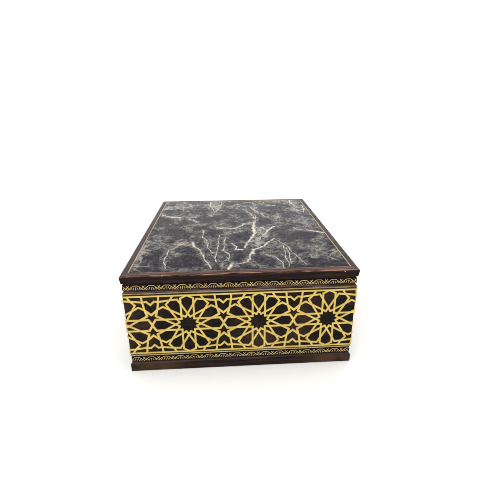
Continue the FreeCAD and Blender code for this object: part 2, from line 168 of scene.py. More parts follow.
def rosewood(name, lengthways, rim_light_and_wear=False, light_ends=False, sheen_streaks=False):
    """Dark red-brown wood whose grain runs along the axis "x" or "y".

    rim_light_and_wear paints a broken highlight and a dim red glow along the rounded upper outer edge, with
    pale flecks that are partly chips and partly painted glints, roughens that edge where it is worn, and
    paints the top's light in red streaks on the front and back rails; light_ends pales the wood towards both
    ends of the front, and sheen_streaks lays pale pink lines along the grain, a painted highlight.
    """
    graph = Graph(name)

    def along(long, wide):
        return (long, wide, wide) if lengthways == "x" else (wide, long, wide)

    figure = graph.grain(along(95, 4.5), detail=6, roughness=0.6, distortion=0.6)
    fine = graph.grain(along(28, 0.9), detail=4, roughness=0.55)
    pores = graph.step(graph.grain(along(5, 0.28), detail=2), 0.62, 0.7)
    dark = rgb(0.0055, 0.0032, 0.0028)
    red = rgb(0.027, 0.0125, 0.0095)
    color = graph.mix(graph.step(figure, 0.42, 0.7), dark, red)
    lines = graph.times(graph.step(fine, 0.45, 0.75), 0.35)
    color = graph.mix(lines, color, rgb(0.045, 0.02, 0.014))
    if light_ends:
        across = graph.math("ABSOLUTE", graph.axis("X"))
        cloud = graph.step(graph.grain(30, detail=3), 0.3, 0.6)
        patch = graph.times(graph.step(across, 60 * MM, 125 * MM), cloud)
        color = graph.mix(graph.times(patch, 0.75, clamp=True), color, rgb(0.066, 0.036, 0.019))
    color = graph.mix(graph.times(pores, 0.6), color, rgb(0.003, 0.002, 0.002))
    if sheen_streaks:
        # painted highlight: pale pink lines along the grain of the sloping ledge
        streak = graph.step(graph.grain(along(55, 1.1), detail=4, roughness=0.6, offset=9.1), 0.46, 0.62)
        color = graph.mix(graph.times(streak, 0.8), color, rgb(0.155, 0.085, 0.08))
    # painted light on the top faces: in red streaks on the rim's front and back, more evenly elsewhere
    if rim_light_and_wear and lengthways == "x":
        top_light_share = graph.step(graph.grain(along(40, 1.5), detail=5, roughness=0.6, offset=4.4), 0.38, 0.6)
        top_highlight = rgb(0.15, 0.078, 0.06)
    else:
        top_light_share = graph.math("MULTIPLY_ADD", figure, 0.6, 0.3)
        top_highlight = rgb(0.072, 0.053, 0.057)
    color = graph.mix(graph.times(facing_up(graph), top_light_share), color, top_highlight)
    roughness = graph.math("MULTIPLY_ADD", fine, 0.16, 0.26)
    if rim_light_and_wear:
        broken = graph.step(graph.grain(along(26, 1.6), detail=6, roughness=0.7), 0.46, 0.62)
        # painted light: a dim red glow over the rounded upper outer edge
        glow = graph.times(outer_edge(graph, 4.0), graph.times(broken, 0.3))
        color = graph.mix(glow, color, rgb(0.075, 0.031, 0.026))
        # painted highlight along the rounded upper outer edge, broken along its length
        edge = graph.times(outer_edge(graph, 1.9), broken)
        color = graph.mix(graph.times(edge, 0.9), color, rgb(0.37, 0.2, 0.155))
        # pale flecks on the edge: chips in the wear and painted glints
        chips_and_glints = graph.step(graph.grain((5, 5, 2), detail=3, roughness=0.6, offset=3.1), 0.69, 0.73)
        chips_and_glints = graph.times(chips_and_glints, outer_edge(graph, 2.0))
        color = graph.mix(chips_and_glints, color, rgb(0.74, 0.6, 0.45))
        roughness = graph.math("ADD", roughness, graph.times(edge, 0.12))
    height = graph.math("SUBTRACT", graph.times(fine, 0.5), pores)
    normal = graph.bump(height, 0.05)
    return graph.finish(color, roughness, normal, Specular_IOR_Level=0.065)


def dark_lacquer():
    """Stained black-brown panel under gloss lacquer."""
    graph = Graph("dark_lacquer")
    cloud = graph.grain(46, detail=3, roughness=0.55)
    streak = graph.grain((30, 30, 2.2), detail=5, roughness=0.6)
    color = graph.mix(graph.step(cloud, 0.44, 0.68), rgb(0.0045, 0.0036, 0.003), rgb(0.026, 0.0135, 0.009))
    share = graph.times(graph.step(streak, 0.5, 0.8), 0.45)
    color = graph.mix(share, color, rgb(0.034, 0.02, 0.016))
    smear = graph.grain(9, detail=4, roughness=0.6, offset=1.7)
    roughness = graph.math("MULTIPLY_ADD", smear, 0.18, 0.2)
    normal = graph.bump(graph.grain(3.5, detail=4), 0.03)
    return graph.finish(color, roughness, normal, Specular_IOR_Level=0.075)


def band_lacquer():
    """The near-black ground of the narrow bands."""
    graph = Graph("band_lacquer")
    cloud = graph.grain(11, detail=4, roughness=0.6)
    color = graph.mix(graph.step(cloud, 0.4, 0.7), rgb(0.0024, 0.002, 0.0018), rgb(0.009, 0.006, 0.005))
    roughness = graph.math("MULTIPLY_ADD", cloud, 0.2, 0.35)
    normal = graph.bump(graph.grain(1.2, detail=3), 0.03)
    return graph.finish(color, roughness, normal, Specular_IOR_Level=0.05)


def carcass_wood():
    """Plain stained wood, for everything that is hardly seen."""
    graph = Graph("carcass_wood")
    figure = graph.grain((60, 60, 2.4), detail=6, roughness=0.6, distortion=0.4)
    pores = graph.step(graph.grain((4, 4, 0.3), detail=2), 0.6, 0.7)
    color = graph.mix(graph.step(figure, 0.38, 0.7), rgb(0.006, 0.0042, 0.0036), rgb(0.024, 0.014, 0.011))
    roughness = graph.math("MULTIPLY_ADD", figure, 0.2, 0.42)
    normal = graph.bump(graph.math("SUBTRACT", figure, pores), 0.06)
    return graph.finish(color, roughness, normal, Specular_IOR_Level=0.15)


def gilt(name, bright, dull, worn, wear_from, metallic=0.4, rubbed_front=False):
    """Matte gilding: bright, dulled in clouds, with its ground showing where it is rubbed.

    rubbed_front takes it off nearly everywhere along the front of the lid but for one short length.
    """
    graph = Graph(name)
    cloud = graph.grain(17, detail=4, roughness=0.6)
    speck = graph.grain(1.4, detail=3, roughness=0.6)
    rub = graph.grain((7, 7, 5), detail=5, roughness=0.65, offset=5.3)
    color = graph.mix(graph.step(cloud, 0.35, 0.75), bright, dull)
    color = graph.mix(graph.times(graph.step(speck, 0.5, 0.8), 0.35), color, dull)
    rubbed = graph.step(rub, wear_from, wear_from + 0.09)
    color = graph.mix(graph.times(rubbed, 0.8), color, worn)
    if rubbed_front:
        front = graph.step(graph.axis("Y"), RUBBED_IN[0] * MM - RIM_Y, RUBBED_IN[1] * MM - RIM_Y)
        gone = graph.math("SUBTRACT", 1.0, front)
        beside = graph.math("ABSOLUTE", graph.math("SUBTRACT", graph.axis("X"), KEPT_GILT_X))
        gone = graph.times(gone, graph.step(beside, KEPT_GILT_HALF[0] * MM, KEPT_GILT_HALF[1] * MM))
        color = graph.mix(graph.times(gone, 0.86), color, rgb(0.085, 0.062, 0.055))
    roughness = graph.math("MULTIPLY_ADD", speck, 0.25, 0.34)
    normal = graph.bump(graph.math("ADD", speck, graph.grain(0.45, detail=2)), 0.035)
    return graph.finish(color, roughness, normal, Metallic=metallic)


def hinge_brass():
    """Brushed brass, clouded with tarnish."""
    graph = Graph("hinge_brass")
    cloud = graph.grain(6, detail=4, roughness=0.6)
    brushed = graph.grain((18, 0.25, 0.25), detail=3)
    color = graph.mix(graph.step(cloud, 0.4, 0.7), rgb(0.72, 0.5, 0.2), rgb(0.42, 0.27, 0.1))
    roughness = graph.math("MULTIPLY_ADD", brushed, 0.22, 0.2)
    return graph.finish(color, roughness, graph.bump(brushed, 0.012), Metallic=1.0)


def felt():
    """Deep red felt with a short nap."""
    graph = Graph("lining_felt")
    nap = graph.grain(0.55, detail=4, roughness=0.7)
    cloud = graph.grain(24, detail=3)
    color = graph.mix(graph.step(cloud, 0.35, 0.7), rgb(0.15, 0.008, 0.016), rgb(0.085, 0.004, 0.010))
    color = graph.mix(graph.times(graph.step(nap, 0.5, 0.8), 0.5), color, rgb(0.24, 0.03, 0.04))
    normal = graph.bump(nap, 0.12)
    return graph.finish(color, 0.92, normal, Sheen_Weight=0.5, Sheen_Roughness=0.4,
                        Sheen_Tint=rgb(0.8, 0.3, 0.35), Specular_IOR_Level=0.15)


# Main veins of the slab: half width, then a chain of (x, y) points, in millimetres.
VEINS = [
    (1.0, [(31, 112), (39, 92), (50, 63), (53, 47)]),
    (0.9, [(37, 57), (35, 36), (33, 20)]),
    (1.8, [(30, 22), (29, 4)]),
    (4.2, [(30, 2), (29, -10), (28, -30)]),
    (3.4, [(28, -30), (23, -53)]),
    (2.4, [(34, -6), (42, -8), (45, -17)]),
    (1.2, [(50, -24), (40, -42), (33, -60)]),
    (2.2, [(23, -53), (16, -65), (12, -80), (8, -92)]),
    (2.2, [(64, -2), (55, -16), (48, -28)]),
    (1.7, [(33, 20), (12, 16), (9, 5), (-3, -9)]),
    (1.5, [(-3, -9), (-24, -9), (-36, 1)]),
    (2.0, [(55, -59), (44, -75), (37, -87), (25, -97), (19, -103)]),
    (3.4, [(20, -100), (18, -112)]),
    (1.3, [(17, -112), (14, -125), (9, -140), (-6, -146)]),
    (3.0, [(-12, -146), (-16, -158)]),
    (0.75, [(-56, -15), (-55, -44), (-47, -59), (-45, -87), (-39, -108)]),
    (2.4, [(-70, -66), (-66, -82)]),
    (1.1, [(-66, -82), (-56, -97), (-50, -119), (-44, -140), (-38, -158)]),
    (0.7, [(6, -22), (-14, -31), (-28, -36), (-31, -60), (-31, -92), (-34, -119), (-32, -137)]),
    (0.7, [(-20, -54), (-22, -78), (-23, -100), (-13, -115), (-16, -134)]),
    (0.7, [(-82, -66), (-90, -80), (-100, -94), (-102, -109), (-101, -132), (-97, -152)]),
    (1.5, [(-10, -76), (-4, -87), (-5, -96), (4, -100)]),
    (1.0, [(94, -12), (100, -22), (122, -28)]),
    (2.4, [(120, -27), (140, -38)]),
    (1.9, [(118, 162), (118, 138), (121, 128)]),
    (1.0, [(136, 118), (137, 98), (130, 76)]),
    (0.9, [(-88, 50), (-72, 35), (-64, 22)]),
    (0.9, [(36, -118), (48, -126), (54, -140), (54, -160)]),
    (0.55, [(68, -96), (70, -120), (66, -150)]),
    (0.9, [(-50, 164), (-47, 120), (-40, 92)]),
    (0.9, [(-26, 164), (-29, 120), (-38, 92)]),
    (2.0, [(-136, 76), (-126, 65), (-112, 59), (-100, 59)]),
    (0.55, [(65, -88), (64, -118), (62, -156)]),
    (0.5, [(60, -66), (70, -90), (75, -112), (84, -150)]),
    (0.8, [(20, 100), (30, 70), (34, 40)]),
]
# Cloudy pale patches and clear dark ones: centre, half sizes (mm) and strength.
PALE_PATCHES = [
    ((41, -30), (13, 26), 1.3),
    ((29, -72), (14, 22), 1.25),
    ((54, -66), (10, 16), 0.8),
    ((30, -108), (12, 9), 0.7),
    ((119, 88), (7, 10), 1.5),
    ((75, 126), (12, 6), 1.2),
    ((30, 125), (22, 14), 0.6),
    ((-40, 138), (13, 34), 0.9),
    ((-112, 60), (17, 5), 1.3),
    ((-108, 128), (24, 20), 0.8),
    ((-139, -100), (8, 46), 1.1),
    ((-120, -62), (22, 16), 0.7),
    ((-80, -72), (18, 12), 1.0),
    ((-14, -150), (10, 9), 0.9),
    ((118, -110), (24, 34), 0.7),
    ((62, -140), (14, 20), 0.5),
    ((-20, -4), (26, 8), 0.9),
    ((20, 14), (16, 7), 1.0),
    ((-47, 66), (8, 8), 0.9),
    ((120, 20), (16, 40), 0.5),
    ((70, 20), (22, 30), 0.5),
    ((-40, -62), (30, 12), 0.4),
]
DARK_PATCHES = [
    ((-122, 98), (15, 12), 0.8),
    ((-59, 105), (14, 15), 0.8),
    ((-12, 144), (14, 14), 0.8),
    ((0, 84), (22, 17), 0.8),
    ((62, 106), (18, 14), 0.9),
    ((106, 62), (13, 10), 1.0),
    ((-56, 42), (20, 20), 0.8),
    ((-125, 30), (13, 20), 0.8),
    ((-97, -22), (18, 14), 1.0),
    ((-37, -22), (12, 13), 1.0),
    ((4, -42), (14, 20), 0.9),
    ((52, 22), (10, 22), 0.9),
    ((88, -4), (15, 7), 0.9),
    ((96, -48), (24, 18), 1.0),
    ((-70, -97), (24, 12), 1.1),
    ((-110, -112), (12, 16), 1.0),
    ((-72, -134), (24, 18), 1.2),
    ((-3, -122), (12, 16), 1.0),
    ((34, -132), (16, 18), 1.3),
    ((88, -146), (16, 10), 0.8),
    ((-30, -78), (12, 14), 0.7),
]


def vein_lines(graph, place):
    """The strength of the nearest main vein at each point, and a soft halo round all of them, 0 to 1."""
    swell = graph.math("MULTIPLY_ADD", graph.grain(11, detail=3, place=place, offset=8.2), 2.2, -0.05)
    strongest = closest = None
    for half_width, points in VEINS:
        nearest = None
        for start, end in zip(points, points[1:]):
            first = Vector((start[0] * MM, start[1] * MM, 0))
            along = Vector((end[0] * MM, end[1] * MM, 0)) - first
            from_first = graph.vector("SUBTRACT", place, tuple(first))
            part = graph.vector("DOT_PRODUCT", from_first, tuple(along / along.length_squared))
            part = graph.add("ShaderNodeClamp", {"Value": part}).outputs[0]
            foot = graph.add("ShaderNodeVectorMath", {0: tuple(along), "Scale": part}, operation="SCALE")
            gap = graph.vector("DISTANCE", from_first, foot.outputs["Vector"])
            nearest = gap if nearest is None else graph.math("MINIMUM", nearest, gap)
        width = half_width * MM
        strength = graph.step(graph.times(nearest, swell), width * 1.15, width * 0.25)
        strongest = strength if strongest is None else graph.math("MAXIMUM", strongest, strength)
        closest = nearest if closest is None else graph.math("MINIMUM", closest, nearest)
    return strongest, graph.step(closest, 10 * MM, 1 * MM)


def patch_field(graph, place, patches):
    """The strongest of a list of soft ovals at each point."""
    total = None
    for centre, sizes, strength in patches:
        moved = graph.vector("SUBTRACT", place, (centre[0] * MM, centre[1] * MM, 0))
        shaped = graph.vector("DIVIDE", moved, (sizes[0] * MM, sizes[1] * MM, 1))
        patch = graph.times(graph.step(graph.vector("LENGTH", shaped), 1.45, 0.35), strength)
        total = patch if total is None else graph.math("MAXIMUM", total, patch)
    return total


def warp(graph, flat, *layers):
    """Push the place about by noise: each layer is (feature size, push), in millimetres."""
    moved = flat
    for size, push in layers:
        noise_node = graph.add("ShaderNodeTexNoise", {"Vector": flat, "Scale": 1000 / size, "Detail": 4.0})
        shift = graph.vector("SUBTRACT", noise_node.outputs["Color"], (0.5, 0.5, 0.5))
        moved = graph.vector("ADD", moved, graph.vector("MULTIPLY", shift, (push * MM, push * MM, 0)))
    return moved


def thread_lines(graph, place, size, offset, width):
    """A tangle of fine winding lines, from 0 to 1."""
    level = graph.grain(size, detail=3, roughness=0.52, place=place, offset=offset)
    return graph.step(graph.math("ABSOLUTE", graph.math("SUBTRACT", level, 0.5)), width, 0.0)


def marble():
    """Polished charcoal marble, densely mottled, with cream veins. It is paler towards the back."""
    graph = Graph("marble")
    flat = graph.vector("MULTIPLY", graph.place, (1, 1, 0))
    warped = warp(graph, flat, (36, 26), (7, 6))
    gently = warp(graph, flat, (20, 9), (6, 3.4), (2, 1.6))
    blotted = warp(graph, flat, (30, 26), (8, 14))

    pale = patch_field(graph, blotted, PALE_PATCHES)
    dark = patch_field(graph, blotted, DARK_PATCHES)
    clouds = graph.grain(34, detail=6, roughness=0.62, place=warped)
    field = graph.math("ADD", clouds, graph.times(graph.math("SUBTRACT", pale, dark), 0.19))
    mottle = graph.grain(9, detail=7, roughness=0.66, place=warped, offset=2.3)
    specks = graph.grain(3.4, detail=5, roughness=0.7, place=flat, offset=4.1)
    threads = thread_lines(graph, warped, 17, 6.4, 0.042)
    lace = thread_lines(graph, warped, 9, 12.7, 0.07)
    veins, halo = vein_lines(graph, gently)

    ground = graph.mix(graph.step(clouds, 0.4, 0.65), rgb(0.0055, 0.004, 0.0125), rgb(0.0125, 0.0105, 0.022))
    zone = graph.math("MAXIMUM", graph.step(field, 0.44, 0.61), graph.times(halo, 0.7))
    paler = graph.step(graph.axis("Y"), -60 * MM, 150 * MM)
    light = graph.mix(paler, rgb(0.19, 0.176, 0.155), rgb(0.34, 0.32, 0.29))
    grey = graph.mix(graph.step(specks, 0.42, 0.60), rgb(0.018, 0.0175, 0.019), light)
    amount = graph.times(zone, graph.step(mottle, 0.39, 0.55))
    color = graph.mix(graph.times(amount, 0.6), ground, grey)
    color = graph.mix(graph.times(lace, graph.math("MULTIPLY_ADD", zone, 0.5, 0.04)), color,
                      graph.mix(paler, rgb(0.18, 0.168, 0.15), rgb(0.36, 0.335, 0.295)))
    stray = graph.times(graph.step(mottle, 0.5, 0.62), graph.step(specks, 0.46, 0.6))
    color = graph.mix(graph.times(stray, 0.45), color, rgb(0.115, 0.108, 0.1))
    web = graph.times(threads, graph.math("MULTIPLY_ADD", zone, 0.7, 0.16))
    color = graph.mix(web, color, graph.mix(paler, rgb(0.245, 0.228, 0.198), rgb(0.46, 0.43, 0.375)))

    for size, width, share, offset in ((24, 0.05, 0.7, 0.0), (9, 0.07, 0.5, 7.0)):
        scaled = graph.vector("MULTIPLY", warped, (1000 / size, 1000 / size, 0))
        scaled = graph.vector("ADD", scaled, (offset, offset, 0))
        cells = graph.add("ShaderNodeTexVoronoi", {"Vector": scaled, "Scale": 1.0},
                          feature="DISTANCE_TO_EDGE", voronoi_dimensions="2D")
        lines = graph.step(cells.outputs["Distance"], width, 0.0)
        fade = graph.step(graph.grain(size * 1.4, detail=4, place=flat, offset=offset + 1), 0.42, 0.6)
        faint = graph.times(lines, graph.times(fade, zone))
        color = graph.mix(graph.times(faint, share, clamp=True), color, rgb(0.36, 0.335, 0.285))

    crust = graph.times(graph.step(pale, 0.6, 1.25), graph.step(mottle, 0.42, 0.56))
    color = graph.mix(graph.times(crust, 0.62, clamp=True), color, rgb(0.46, 0.43, 0.36))
    gaps = graph.grain(5, detail=4, roughness=0.6, place=flat)
    broken = graph.math("MULTIPLY_ADD", gaps, 3.0, -0.72, clamp=True)
    veins = graph.times(veins, broken)
    color = graph.mix(graph.times(veins, 0.95), color, rgb(0.66, 0.62, 0.52))
    roughness = graph.math("MULTIPLY_ADD", specks, 0.1, 0.1)
    normal = graph.bump(specks, 0.015)
    return graph.finish(color, roughness, normal, Specular_IOR_Level=0.055)


def frame_looks():
    """The material of each kind of CAD node, by how its name starts; the first that fits is used."""
    gold = gilt("gilt_lattice", rgb(0.59, 0.432, 0.106), rgb(0.49, 0.342, 0.078),
                rgb(0.28, 0.17, 0.047), 0.74)
    line = gilt("gilt_line", rgb(0.46, 0.35, 0.14), rgb(0.29, 0.212, 0.09), rgb(0.11, 0.073, 0.037), 0.57)
    upper_line = gilt("gilt_upper_line", rgb(0.29, 0.208, 0.075), rgb(0.18, 0.128, 0.05),
                      rgb(0.085, 0.055, 0.03), 0.55)
    lid_line = gilt("gilt_lid_line", rgb(0.66, 0.52, 0.24), rgb(0.46, 0.36, 0.17), rgb(0.16, 0.12, 0.08), 0.6,
                    rubbed_front=True)
    rim_x = rosewood("rosewood_rim_x", "x", rim_light_and_wear=True)
    rim_y = rosewood("rosewood_rim_y", "y", rim_light_and_wear=True)
    plinth_x = rosewood("rosewood_plinth_x", "x", light_ends=True)
    plinth_y = rosewood("rosewood_plinth_y", "y")
    ledge_x = rosewood("rosewood_ledge_x", "x", sheen_streaks=True)
    ledge_y = rosewood("rosewood_ledge_y", "y", sheen_streaks=True)
    return {
        "lattice_": gold,
        "marble_line": lid_line,
        "lower_fillet": line,
        "upper_fillet": upper_line,
        ("rim_front", "rim_back"): rim_x,
        "rim_": rim_y,
        ("plinth_left", "plinth_right"): plinth_y,
        "plinth_": plinth_x,
        ("ledge_left", "ledge_right"): ledge_y,
        "ledge_": ledge_x,
        "panel_": dark_lacquer(),
        ("lower_band_", "upper_band_"): band_lacquer(),
        ("hinge_", "body_leaf", "lid_leaf"): hinge_brass(),
        "marble_slab": marble(),
        "": carcass_wood(),
    }


def paint_frame():
    looks = frame_looks()
    for name, node in NODES.items():
        material = next(look for starts, look in looks.items() if name.startswith(starts))
        for holder in node.material_slots:
            holder.material = material


def soften_edges():
    """Small rounded arrises on the CAD pieces, by modifier only; widths in millimetres."""
    widths = {"lattice_": 0.28, "rim_": 0.3, "plinth_": 0.3, "marble_slab": 0.15, "ledge_": 0.12,
              "panel_": 0.1, "hinge_": 0.15, "lower_fillet": 0.12, "upper_fillet": 0.12,
              "marble_line": 0.12}
    for name, node in NODES.items():
        for start, width in widths.items():
            if name.startswith(start):
                bevel = node.modifiers.new("arris", "BEVEL")
                bevel.width = width * MM
                bevel.segments = 2
                bevel.limit_method = "ANGLE"
                bevel.angle_limit = math.radians(35)


# ---- Helpers for new pieces ----
def bridge(mesh, first, second):
    """Faces between two rings of as many points each."""
    for index in range(len(first)):
        after = (index + 1) % len(first)
        mesh.faces.new((first[index], first[after], second[after], second[index]))


def finish_mesh(mesh, name, smooth=False):
    """The mesh as an object's data, its faces turned outwards."""
    bmesh.ops.recalc_face_normals(mesh, faces=mesh.faces)
    data = bpy.data.meshes.new(name)
    mesh.to_mesh(data)
    mesh.free()
    for polygon in data.polygons:
        polygon.use_smooth = smooth
    return data


def add_piece(name, data, material, body):
    """A new visible piece that rides on a CAD body."""
    piece = bpy.data.objects.new(name, data)
    bpy.context.scene.collection.objects.link(piece)
    data.materials.append(material)
    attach(piece, body)
    return piece


def side_place(side, along, out, height):
    """A point on one side of the box: along it, out from its carcass wall, and up."""
    face = WALL_Y if side in ("front", "back") else WALL_X
    point = Vector((along, -face - out, height))
    return Matrix.Rotation(math.radians(SIDES[side]), 4, "Z") @ point


def side_half(side):
    """Half the length of one side, between the carcass walls' corners."""
    return WALL_X if side in ("front", "back") else WALL_Y


# ---- Gold line-work on the narrow bands, in millimetres ----
BAND_PERIOD = 19.2           # arch to arch
BAND_OUT = 1.5               # how far a band's edges stand out from the carcass wall
BAND_CROWN = 0.36            # how far its rounded face swells out from there
BAND_MARGIN = 0.1            # left clear of line-work at a band's edges
END_CLEAR = 0.15             # and at its ends
LINE_HALF = 0.33             # half the width of a raised line
LINE_TOP = 0.65              # the part of that width that is flat on top
LINE_RISE = 0.2              # how far a line stands out of the band
LINE_SUNK = 0.12             # and how far its foot reaches into it
SHORTEST_LINE = 0.3


def band_motif():
    """The lines of one period, from -P/2 to P/2 round an arch; heights run from 0 to 1."""
    half = BAND_PERIOD / 2
    lines = [
        # the arch, with its flat top, and the stem inside it
        [(-6.0, 0.55), (-4.5, 0.78), (-2.8, 0.95), (2.8, 0.95), (4.5, 0.78), (6.0, 0.55)],
        [(0, 0.68), (0, 0.03)],
    ]
    for sign in (-1, 1):
        # a rib that leans out beside the stem
        lines.append([(sign * 1.7, 0.66), (sign * 3.1, 0.05)])
        # the chain of diamonds between two arches, drawn up to the middle of the next motif
        chain = ((4.2, 0.2), (5.7, 0.62), (7.65, 0.36), (half, 0.06))
        lines.append([(sign * u, v) for u, v in chain])
        lines.append([(sign * u, v) for u, v in ((5.7, 0.1), (7.65, 0.36), (half, 0.66))])
        # half of the pair of ears on the middle diamond
        lines.append([(sign * half, 0.66), (sign * (half - 1.5), 0.98)])
    return lines


def clip_line(points, limit):
    """The part of a line between -limit and limit, or None."""
    kept = []
    for (u1, v1), (u2, v2) in zip(points, points[1:]):
        low, high = 0.0, 1.0
        for edge in (-limit, limit):
            if (u1 - edge) * (u2 - edge) < 0:
                cross = (edge - u1) / (u2 - u1)
                if (abs(u1) > limit) and (u1 - edge) * edge > 0:
                    low = cross
                else:
                    high = cross
        if abs(u1) > limit and low == 0.0:
            continue
        if not kept:
            kept.append((u1 + (u2 - u1) * low, v1 + (v2 - v1) * low))
        kept.append((u1 + (u2 - u1) * high, v1 + (v2 - v1) * high))
        if high < 1.0:
            break
    return kept if len(kept) > 1 and math.dist(kept[0], kept[-1]) > SHORTEST_LINE else None


def ribbon(mesh, points, place):
    """A raised line along points, in flat millimetres, with sloping flanks."""
    count = len(points)
    section = ((-1.0, -LINE_SUNK), (-LINE_TOP, LINE_RISE), (LINE_TOP, LINE_RISE), (1.0, -LINE_SUNK))
    rows = []
    for index, (u, v) in enumerate(points):
        before = points[max(index - 1, 0)]
        after = points[min(index + 1, count - 1)]
        into = Vector((u - before[0], v - before[1]))
        out = Vector((after[0] - u, after[1] - v))
        if index == 0:
            into = out
        if index == count - 1:
            out = into
        into.normalize()
        out.normalize()
        side = Vector((-into.y - out.y, into.x + out.x)).normalized()
        # a bend is mitred, up to twice the line's width
        widen = min(1 / max(side.dot(Vector((-out.y, out.x))), 0.3), 2.0)
        row = []
        for across, rise in section:
            reach = across * LINE_HALF * widen
            row.append(mesh.verts.new(place(u + side.x * reach, v + side.y * reach, rise)))
        rows.append(row)
    for first, second in zip(rows, rows[1:]):
        bridge(mesh, first, second)
    mesh.faces.new(rows[0][::-1])
    mesh.faces.new(rows[-1])


def band_linework(which, side, body, material, first_arch, bare_top):
    """The line-work of one band on one side, laid on the band's rounded face below its bare top."""
    low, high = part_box(f"{which}_band_{side}")
    bottom, top = low.z + BAND_MARGIN * MM, high.z - bare_top * MM
    middle = (low.z + high.z) / 2
    half_height = (high.z - low.z) / 2
    limit = side_half(side) / MM + BAND_OUT - END_CLEAR
    mesh = bmesh.new()

    def place(u, v, rise):
        height = min(max(v * MM + bottom, bottom), high.z - BAND_MARGIN * MM)
        swell = 1 - ((height - middle) / half_height) ** 2
        return side_place(side, u * MM, (BAND_OUT + BAND_CROWN * swell + rise) * MM, height)

    span = (top - bottom) / MM
    number = math.floor((-limit - first_arch) / BAND_PERIOD)
    while first_arch + number * BAND_PERIOD < limit + BAND_PERIOD:
        centre = first_arch + number * BAND_PERIOD
        number += 1
        for line in band_motif():
            moved = [(u + centre, v * span) for u, v in line]
            kept = clip_line(moved, limit)
            if kept:
                ribbon(mesh, kept, place)
    name = f"{which}_linework_{side}"
    add_piece(name, finish_mesh(mesh, name), material, body)


def all_linework():
    """Each band is cut from one long strip, so that its pattern runs on round the corners."""
    tan = gilt("gilt_linework", rgb(0.60, 0.445, 0.18), rgb(0.44, 0.32, 0.13), rgb(0.17, 0.11, 0.06), 0.64,
               metallic=0.3)
    # each strip's body, its first arch on the front and the bare height above its lines
    strips = {"upper": ("lid", -131.9, 0.8), "lower": ("body", -122.2, 2.0)}
    middle_to_middle = (WALL_X + WALL_Y) / MM + 2 * BAND_OUT
    for which, (body, arch, bare_top) in strips.items():
        for side in SIDES:
            band_linework(which, side, body, tan, arch, bare_top)
            arch -= middle_to_middle


# ---- Hinge screws ----
SCREW_TURNS = 24             # points round a screw
HALF_STEPS = 12              # steps round each half of a slotted head
HEAD_DEEP = 1.3 * MM
HEAD_ROUNDING = 0.12 * MM    # how far the head's edge falls below its top
SHANK_R = 1.05 * MM
PLAIN_SHANK = 0.6 * MM       # between the head and the thread
TIP_LENGTH = 1.2 * MM
SLOT_HALF = 0.35 * MM
SLOT_DEEP = 0.7 * MM
SCREW_SPACING = 13 * MM


def screw_shank(mesh, at, ring, head_r, length):
    """A screw from the rim of its head down to its tip.

    at makes a point by reach, off and depth, and ring a circle of points by radius and depth.
    """
    depth = HEAD_DEEP + PLAIN_SHANK
    rows = [ring(head_r, HEAD_ROUNDING), ring(SHANK_R, HEAD_DEEP), ring(SHANK_R, depth)]
    while depth < length - TIP_LENGTH - 1.0 * MM:
        # each turn of the thread: its root, then its crest
        for share, step in ((0.72, 0.25), (1.12, 0.35)):
            depth += step * MM
            rows.append(ring(SHANK_R * share, depth))
    rows.append(ring(SHANK_R * 0.6, length - TIP_LENGTH))
    for first, second in zip(rows, rows[1:]):
        bridge(mesh, first, second)
    tip = at(0, 0, length)
    for index in range(SCREW_TURNS):
        mesh.faces.new((rows[-1][index], rows[-1][(index + 1) % SCREW_TURNS], tip))


def screw_head(mesh, at, head_r):
    """A head's top, as two raised halves with the slot between them; at is as in screw_shank."""
    inner = head_r * 0.97
    start = math.asin(SLOT_HALF / inner)
    slot_end = inner * math.cos(start)

    def half_circle(half, radius, depth):
        angles = [start + (math.pi - 2 * start) * step / HALF_STEPS for step in range(HALF_STEPS + 1)]
        return [at(radius * math.cos(angle), half * radius * math.sin(angle), depth) for angle in angles]

    for half in (-1, 1):
        top = half_circle(half, inner, 0.0)
        mesh.faces.new(top)
        rim = half_circle(half, head_r, HEAD_ROUNDING)
        for index in range(HALF_STEPS):
            mesh.faces.new((top[index], top[index + 1], rim[index + 1], rim[index]))
        wall = [at(sign * slot_end, half * SLOT_HALF, SLOT_DEEP) for sign in (1, -1)]
        mesh.faces.new((top[0], top[-1], wall[1], wall[0]))
    floor_low = [at(sign * slot_end, -SLOT_HALF, SLOT_DEEP) for sign in (-1, 1)]
    floor_high = [at(sign * slot_end, SLOT_HALF, SLOT_DEEP) for sign in (1, -1)]
    mesh.faces.new(floor_low + floor_high)


def add_screws(name, node, body, brass, up):
    """Countersunk slotted screws in place of one CAD node of six plain ones; up is the way the heads face."""
    low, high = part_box(node)
    middle = (low + high) / 2
    head_z = high.z if up > 0 else low.z
    head_r = (high.y - low.y) / 2
    length = high.z - low.z
    hinge_x = (high.x - low.x) / 2 - head_r - SCREW_SPACING
    mesh = bmesh.new()

    def screw(x, turned):
        centre = Vector((x, middle.y, head_z))
        along = Vector((math.cos(turned), math.sin(turned), 0))
        across = Vector((-along.y, along.x, 0))
        down = Vector((0, 0, -up))

        def at(reach, off, depth):
            return mesh.verts.new(centre + along * reach + across * off + down * depth)

        def ring(radius, depth):
            points = []
            for step in range(SCREW_TURNS):
                angle = math.tau * step / SCREW_TURNS
                out = Vector((radius * math.cos(angle), radius * math.sin(angle), 0))
                points.append(mesh.verts.new(centre + out + down * depth))
            return points

        screw_shank(mesh, at, ring, head_r, length)
        screw_head(mesh, at, head_r)

    number = 0
    for centre in (-hinge_x, hinge_x):
        for step in (-1, 0, 1):
            number += 1
            screw(middle.x + centre + step * SCREW_SPACING, 0.7 * number)
    bmesh.ops.remove_doubles(mesh, verts=mesh.verts, dist=0.005 * MM)
    piece = add_piece(name, finish_mesh(mesh, name), brass, body)
    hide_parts(node)


